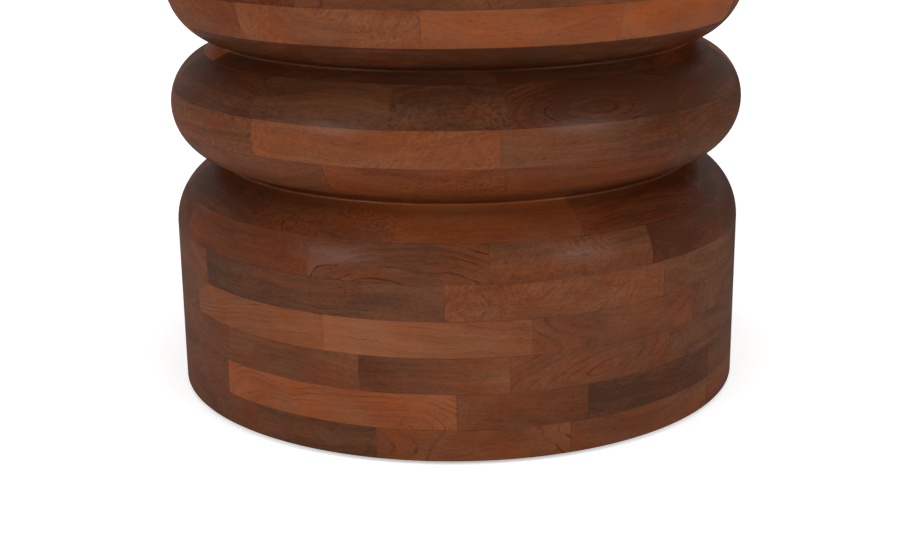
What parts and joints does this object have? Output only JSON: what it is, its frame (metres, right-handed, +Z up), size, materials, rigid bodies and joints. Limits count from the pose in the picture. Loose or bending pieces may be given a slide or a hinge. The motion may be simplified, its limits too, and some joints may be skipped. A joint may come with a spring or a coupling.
{
  "type": "drum side table",
  "caption": "Round hardwood side table shaped as two drums joined by a rounded belt, a hollow stack of glued block rings with a board top and levelling feet.",
  "frame": {"origin": "on the floor at the centre of the table, under its turned axis", "axes": "+Z up along the turned axis, -Y towards the front, +X to the right"},
  "size_m": [0.508, 0.508, 0.508],
  "materials": {
    "stained_wood": "red-brown stain under satin lacquer",
    "plywood": "sanded, sealed",
    "zinc_steel": "zinc plated",
    "black_nylon": "moulded matt"
  },
  "bodies": {
    "table": {"ring_layer_01": "stained_wood", "ring_layer_02": "stained_wood", "ring_layer_03": "stained_wood", "ring_layer_04": "stained_wood", "ring_layer_05": "stained_wood", "ring_layer_06": "stained_wood", "ring_layer_07": "stained_wood", "ring_layer_08": "stained_wood", "ring_layer_09": "stained_wood", "ring_layer_10": "stained_wood", "ring_layer_11": "stained_wood", "ring_layer_12": "stained_wood", "ring_layer_13": "stained_wood", "ring_layer_14": "stained_wood", "ring_layer_15": "stained_wood", "ring_layer_16": "stained_wood", "top_board_1": "stained_wood", "top_board_2": "stained_wood", "top_board_3": "stained_wood", "top_board_4": "stained_wood", "top_board_5": "stained_wood", "top_board_6": "stained_wood", "top_board_7": "stained_wood", "bottom_panel": "plywood", "bottom_panel_screws": "zinc_steel", "foot_inserts": "zinc_steel"},
    "foot_1_pad": {"foot_pad_1": "black_nylon"},
    "foot_1_stud": {"foot_stud_1": "zinc_steel"},
    "foot_2_pad": {"foot_pad_2": "black_nylon"},
    "foot_2_stud": {"foot_stud_2": "zinc_steel"},
    "foot_3_pad": {"foot_pad_3": "black_nylon"},
    "foot_3_stud": {"foot_stud_3": "zinc_steel"},
    "foot_4_pad": {"foot_pad_4": "black_nylon"},
    "foot_4_stud": {"foot_stud_4": "zinc_steel"}
  },
  "joints": [
    {"name": "foot_1_travel", "type": "slide", "parent": "table", "child": "foot_1_pad", "axis": [0, 0, -1], "range_m": [0, 0.008]},
    {"name": "foot_1_screw", "type": "hinge", "parent": "foot_1_pad", "child": "foot_1_stud", "pos_m": [0.229, 0, 0], "axis": [0, 0, -1], "range_deg": [0, 2300]},
    {"name": "foot_2_travel", "type": "slide", "parent": "table", "child": "foot_2_pad", "axis": [0, 0, -1], "range_m": [0, 0.008]},
    {"name": "foot_2_screw", "type": "hinge", "parent": "foot_2_pad", "child": "foot_2_stud", "pos_m": [0, 0.229, 0], "axis": [0, 0, -1], "range_deg": [0, 2300]},
    {"name": "foot_3_travel", "type": "slide", "parent": "table", "child": "foot_3_pad", "axis": [0, 0, -1], "range_m": [0, 0.008]},
    {"name": "foot_3_screw", "type": "hinge", "parent": "foot_3_pad", "child": "foot_3_stud", "pos_m": [-0.229, 0, 0], "axis": [0, 0, -1], "range_deg": [0, 2300]},
    {"name": "foot_4_travel", "type": "slide", "parent": "table", "child": "foot_4_pad", "axis": [0, 0, -1], "range_m": [0, 0.008]},
    {"name": "foot_4_screw", "type": "hinge", "parent": "foot_4_pad", "child": "foot_4_stud", "pos_m": [0, -0.229, 0], "axis": [0, 0, -1], "range_deg": [0, 2300]}
  ],
  "couplings": [
    {"joint": "foot_1_travel", "follows": "foot_1_screw", "m_per_rad": 0.00019894},
    {"joint": "foot_2_travel", "follows": "foot_2_screw", "m_per_rad": 0.00019894},
    {"joint": "foot_3_travel", "follows": "foot_3_screw", "m_per_rad": 0.00019894},
    {"joint": "foot_4_travel", "follows": "foot_4_screw", "m_per_rad": 0.00019894}
  ]
}
